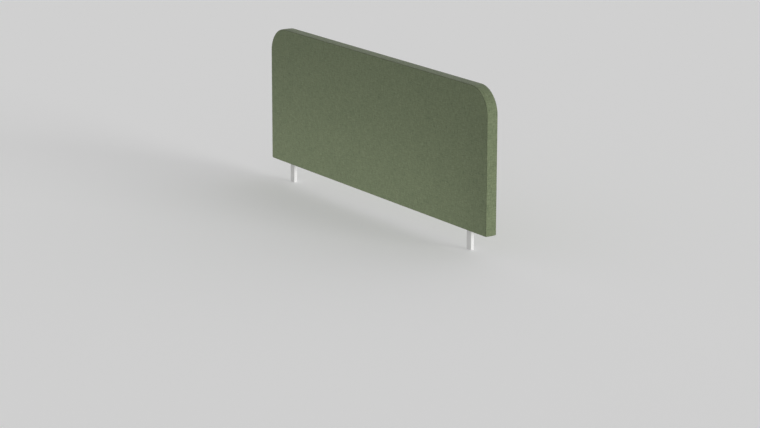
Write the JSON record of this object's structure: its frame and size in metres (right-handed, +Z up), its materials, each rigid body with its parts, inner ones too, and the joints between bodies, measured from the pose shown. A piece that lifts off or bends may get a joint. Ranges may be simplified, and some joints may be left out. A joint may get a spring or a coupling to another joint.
{
  "type": "desk privacy panel",
  "caption": "Fabric-covered privacy panel with rounded top corners that stands between two desktops on two slip-in steel posts.",
  "frame": {"origin": "centre of the plane of the two post feet, midway between the posts and in the panel's middle plane", "axes": "+Z up, +X along the panel towards the end named near, -Y out of the front face"},
  "size_m": [1.6, 0.05, 0.675],
  "materials": {
    "cover_fabric": "matte woven",
    "zip_tape": "matte woven",
    "zip_nylon": "satin",
    "zip_metal": "satin",
    "pad_foam": "matte",
    "felt": "matte",
    "timber": "matte",
    "dowel_wood": "matte",
    "white_paint": "satin",
    "zinc_steel": "satin",
    "black_nylon": "satin"
  },
  "bodies": {
    "posts": {"near_post": "white_paint", "near_post_foot_nut": "zinc_steel", "near_post_cap": "black_nylon", "far_post": "white_paint", "far_post_foot_nut": "zinc_steel", "far_post_cap": "black_nylon"},
    "panel": {"front_face_cover": "cover_fabric", "back_face_cover": "cover_fabric", "edge_band_cover": "cover_fabric", "bottom_strip_cover": "cover_fabric", "zip_tape_front": "zip_tape", "zip_tape_back": "zip_tape", "zip_coil_front": "zip_nylon", "zip_coil_back": "zip_nylon", "zip_stop_near": "zip_metal", "zip_stop_far": "zip_metal", "front_pad": "pad_foam", "back_pad": "pad_foam", "edge_wadding": "felt", "near_main_absorber": "felt", "far_main_absorber": "felt", "near_end_absorber": "felt", "far_end_absorber": "felt", "bottom_rail": "timber", "top_rail": "timber", "centre_stile": "timber", "near_end_stile": "timber", "far_end_stile": "timber", "near_post_stile": "timber", "far_post_stile": "timber", "near_corner_block": "timber", "far_corner_block": "timber", "centre_stile_dowel": "dowel_wood", "near_corner_dowel_upright": "dowel_wood", "near_corner_dowel_level": "dowel_wood", "near_end_stile_dowel": "dowel_wood", "near_post_stile_dowel_inner": "dowel_wood", "near_post_stile_dowel_outer": "dowel_wood", "far_corner_dowel_upright": "dowel_wood", "far_corner_dowel_level": "dowel_wood", "far_end_stile_dowel": "dowel_wood", "far_post_stile_dowel_inner": "dowel_wood", "far_post_stile_dowel_outer": "dowel_wood", "near_socket": "zinc_steel", "far_socket": "zinc_steel", "near_socket_screw_outer": "zinc_steel", "near_socket_screw_inner": "zinc_steel", "far_socket_screw_outer": "zinc_steel", "far_socket_screw_inner": "zinc_steel", "near_guide_bush": "black_nylon", "far_guide_bush": "black_nylon"},
    "zip_slider_body": {"zip_slider": "zip_metal"},
    "zip_pull_body": {"zip_pull_tab": "zip_metal"}
  },
  "joints": [
    {"name": "panel_lift", "type": "slide", "parent": "posts", "child": "panel", "axis": [0, 0, 1], "range_m": [0, 0.14]},
    {"name": "zip_run", "type": "slide", "parent": "panel", "child": "zip_slider_body", "axis": [1, 0, 0], "range_m": [0, 1.558]},
    {"name": "zip_pull_swing", "type": "hinge", "parent": "zip_slider_body", "child": "zip_pull_body", "pos_m": [-0.779, 0.0183, 0.081], "axis": [0, 1, 0], "range_deg": [0, 170]}
  ]
}
